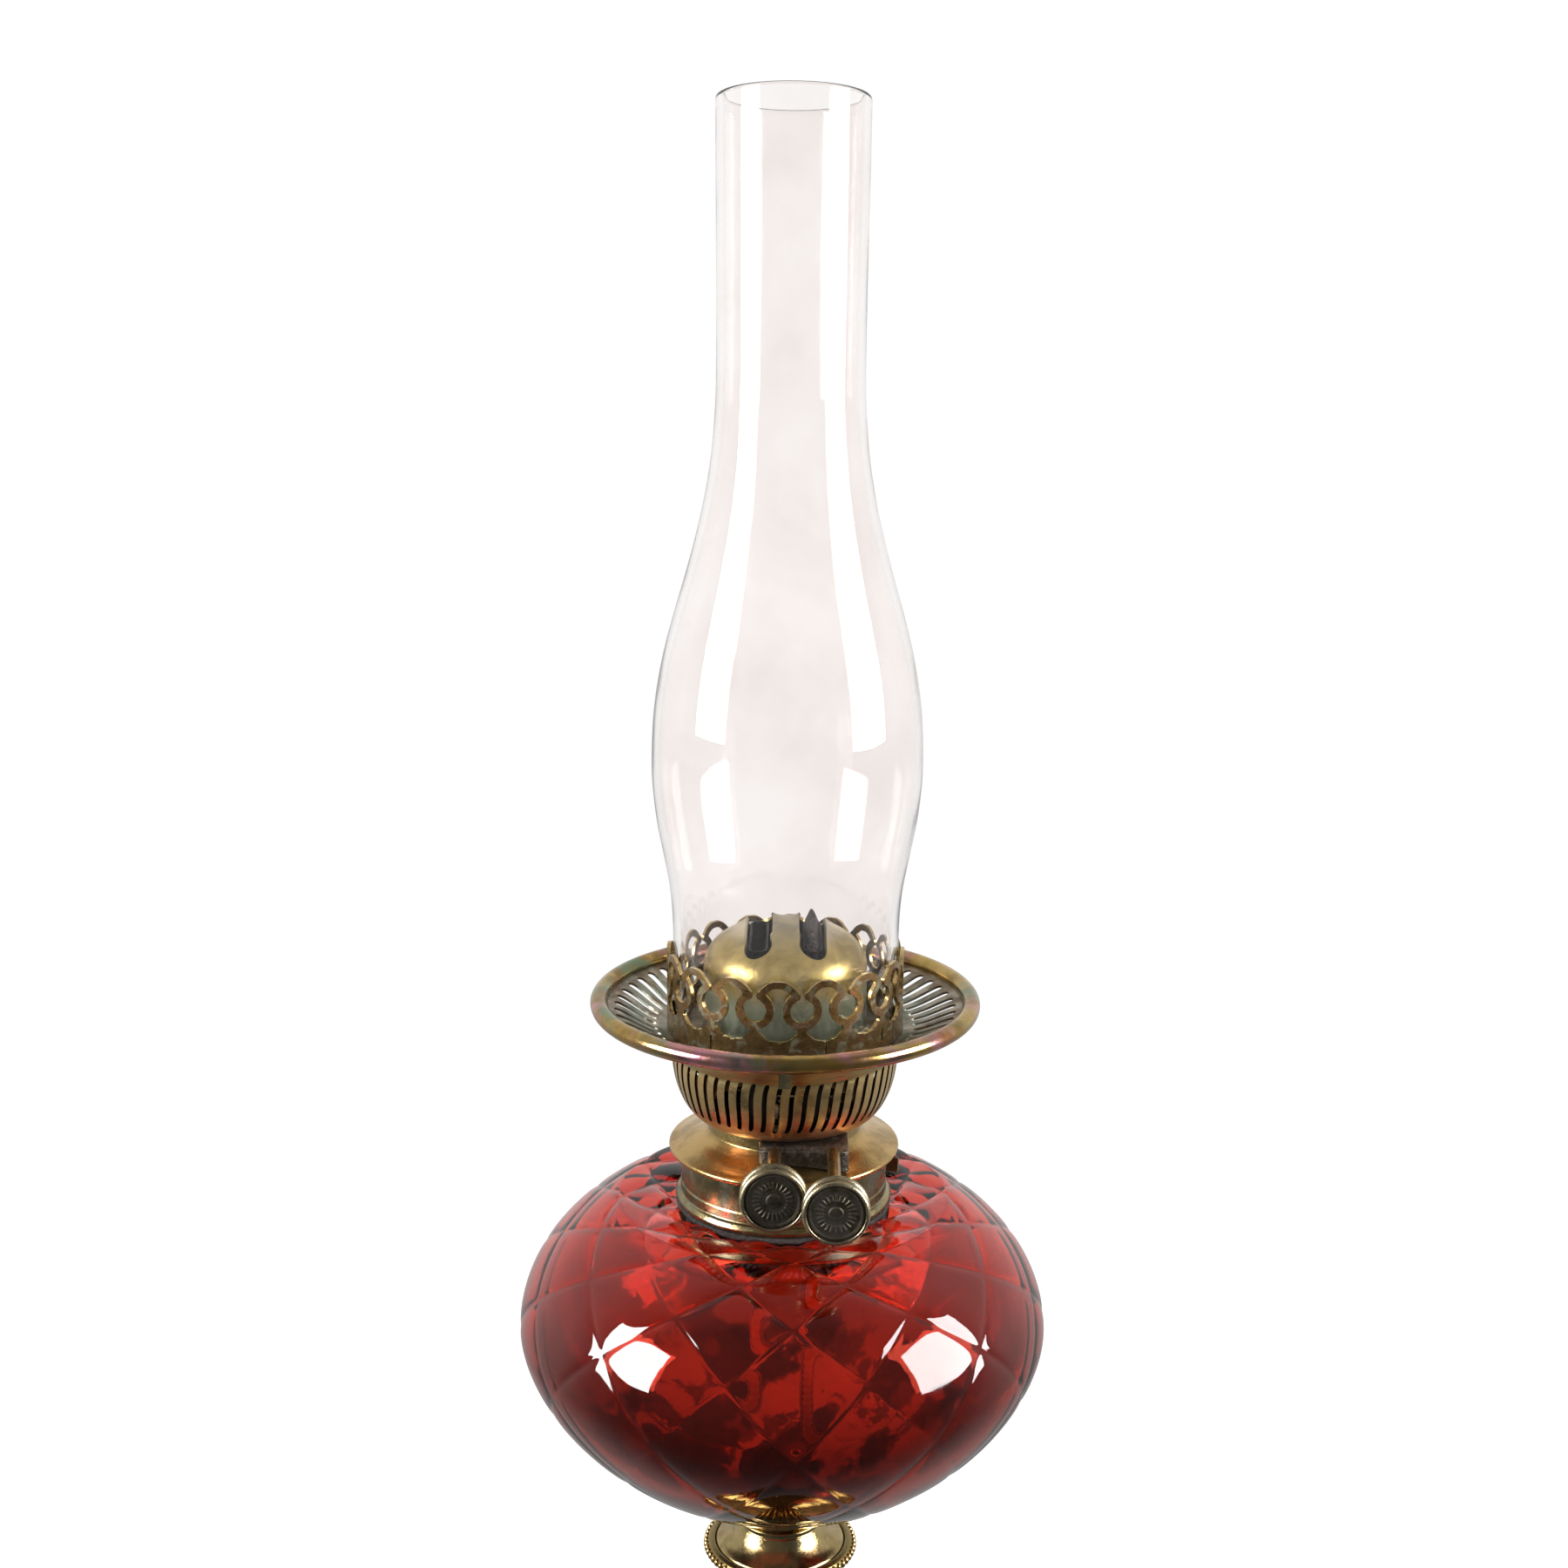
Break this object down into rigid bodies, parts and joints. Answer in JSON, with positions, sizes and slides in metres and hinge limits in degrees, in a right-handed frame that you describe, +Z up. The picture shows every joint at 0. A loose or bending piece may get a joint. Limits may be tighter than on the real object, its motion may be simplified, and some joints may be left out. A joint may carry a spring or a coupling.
{
  "type": "oil lamp",
  "caption": "Table oil lamp: brass column and foot, ruby cut-glass font, twin flat-wick burner with winder knobs, slotted shade gallery, pierced coronet and tall glass chimney.",
  "frame": {"origin": "centre of the foot's resting plane, on the lamp's axis", "axes": "+Z up along the lamp's axis, -Y towards the front, the side of the two winder knobs"},
  "size_m": [0.1526, 0.1526, 0.6287],
  "materials": {
    "polished_brass": "polished, lightly aged",
    "iron": "rough cast",
    "steel": "dull, oiled",
    "plaster": "matte",
    "ruby_glass": "cut, clear ruby",
    "dark_cement": "matte, crumbly",
    "aged_brass": "aged",
    "flange_brass": "lacquered, warm",
    "basket_brass": "aged, copper tinted below",
    "sooty_brass": "sooty",
    "oxidised_brass": "dark oxide",
    "spindle_brass": "drawn, dull",
    "knob_brass": "worn",
    "knob_plate": "dark, worn",
    "wick_cotton": "woven, charred at the top",
    "heat_tinted_brass": "heat tinted pink and green",
    "coronet_brass": "aged, brown edged",
    "dome_brass": "aged, verdigris on the skirt",
    "clear_glass": "clear"
  },
  "bodies": {
    "stand": {"foot_shell": "polished_brass", "foot_beading": "polished_brass", "foot_weight": "iron", "column_base_ring": "polished_brass", "reeded_column": "polished_brass", "capital": "polished_brass", "capital_beading": "polished_brass", "tie_rod": "steel", "tie_nut": "steel", "tie_washer": "steel", "font_cup": "polished_brass", "peg_cement": "plaster", "font_glass": "ruby_glass", "collar_cement": "dark_cement", "font_collar": "aged_brass"},
    "burner": {"burner_flange": "flange_brass", "bayonet_catch": "flange_brass", "tube_plate": "aged_brass", "air_basket": "basket_brass", "wick_tube_left": "sooty_brass", "wick_tube_right": "sooty_brass", "winder_box": "oxidised_brass", "spindle_bearing": "aged_brass"},
    "gallery": {"gallery_tray": "heat_tinted_brass", "gallery_skirt": "aged_brass", "gallery_tab": "aged_brass", "coronet": "coronet_brass", "flame_dome": "dome_brass"},
    "chimney": {"chimney_glass": "clear_glass"},
    "winder_left": {"winder_spindle_left": "spindle_brass", "winder_knob_left": "knob_brass", "knob_plate_left": "knob_plate", "wick_wheels_left": "spindle_brass"},
    "winder_right": {"winder_spindle_right": "spindle_brass", "winder_knob_right": "knob_brass", "knob_plate_right": "knob_plate", "wick_wheels_right": "spindle_brass"},
    "wick_strip_left": {"wick_left": "wick_cotton"},
    "wick_strip_right": {"wick_right": "wick_cotton"}
  },
  "joints": [
    {"name": "burner_twist", "type": "hinge", "parent": "stand", "child": "burner", "pos_m": [0, 0, 0.34], "axis": [0, 0, 1], "range_deg": [0, 30]},
    {"name": "gallery_lift", "type": "slide", "parent": "burner", "child": "gallery", "axis": [0, 0, 1], "range_m": [0, 0.045]},
    {"name": "chimney_lift", "type": "slide", "parent": "gallery", "child": "chimney", "axis": [0, 0, 1], "range_m": [0, 0.06]},
    {"name": "winder_left_turn", "type": "hinge", "parent": "burner", "child": "winder_left", "pos_m": [-0.0026, -0.03, 0.34779], "axis": [0, 1, 0], "range_deg": [-220, 180]},
    {"name": "winder_right_turn", "type": "hinge", "parent": "burner", "child": "winder_right", "pos_m": [0.0137, -0.03, 0.34779], "axis": [0, 1, 0], "range_deg": [-205, 50]},
    {"name": "wick_left_feed", "type": "slide", "parent": "burner", "child": "wick_strip_left", "axis": [0, 0, 1], "range_m": [-0.012, 0.01]},
    {"name": "wick_right_feed", "type": "slide", "parent": "burner", "child": "wick_strip_right", "axis": [0, 0, 1], "range_m": [-0.016, 0.004]}
  ],
  "couplings": [
    {"joint": "wick_left_feed", "follows": "winder_left_turn", "m_per_rad": 0.0031},
    {"joint": "wick_right_feed", "follows": "winder_right_turn", "m_per_rad": 0.0044}
  ]
}
